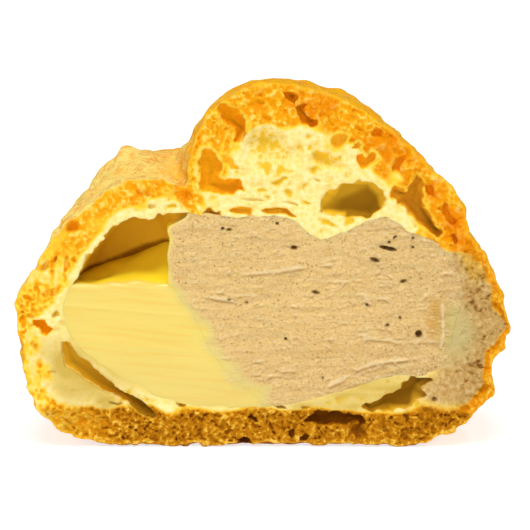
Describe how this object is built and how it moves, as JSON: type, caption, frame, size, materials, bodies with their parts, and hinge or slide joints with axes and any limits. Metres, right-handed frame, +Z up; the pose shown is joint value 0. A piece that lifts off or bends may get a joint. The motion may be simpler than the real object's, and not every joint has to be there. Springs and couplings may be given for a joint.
{
  "type": "cream puff half",
  "caption": "Half of a large cream puff cut through the middle, with custard and mocha cream in a hollow choux shell, standing on its flat base.",
  "frame": {"origin": "on the table, under the middle of the puff's bounding box", "axes": "+Z up; the cut face looks along -Y, with the custard towards -X and the mocha cream towards +X; the uncut back is towards +Y"},
  "size_m": [0.0858, 0.0444, 0.0647],
  "materials": {
    "baked_choux": "dry baked crust with an open, porous crumb at the cut",
    "custard": "smooth moist custard with faint knife marks",
    "mocha_cream": "soft whipped cream with fine air pores and knife marks"
  },
  "bodies": {
    "root": {"choux_shell": "baked_choux", "custard": "custard", "mocha_cream": "mocha_cream"}
  },
  "joints": []
}
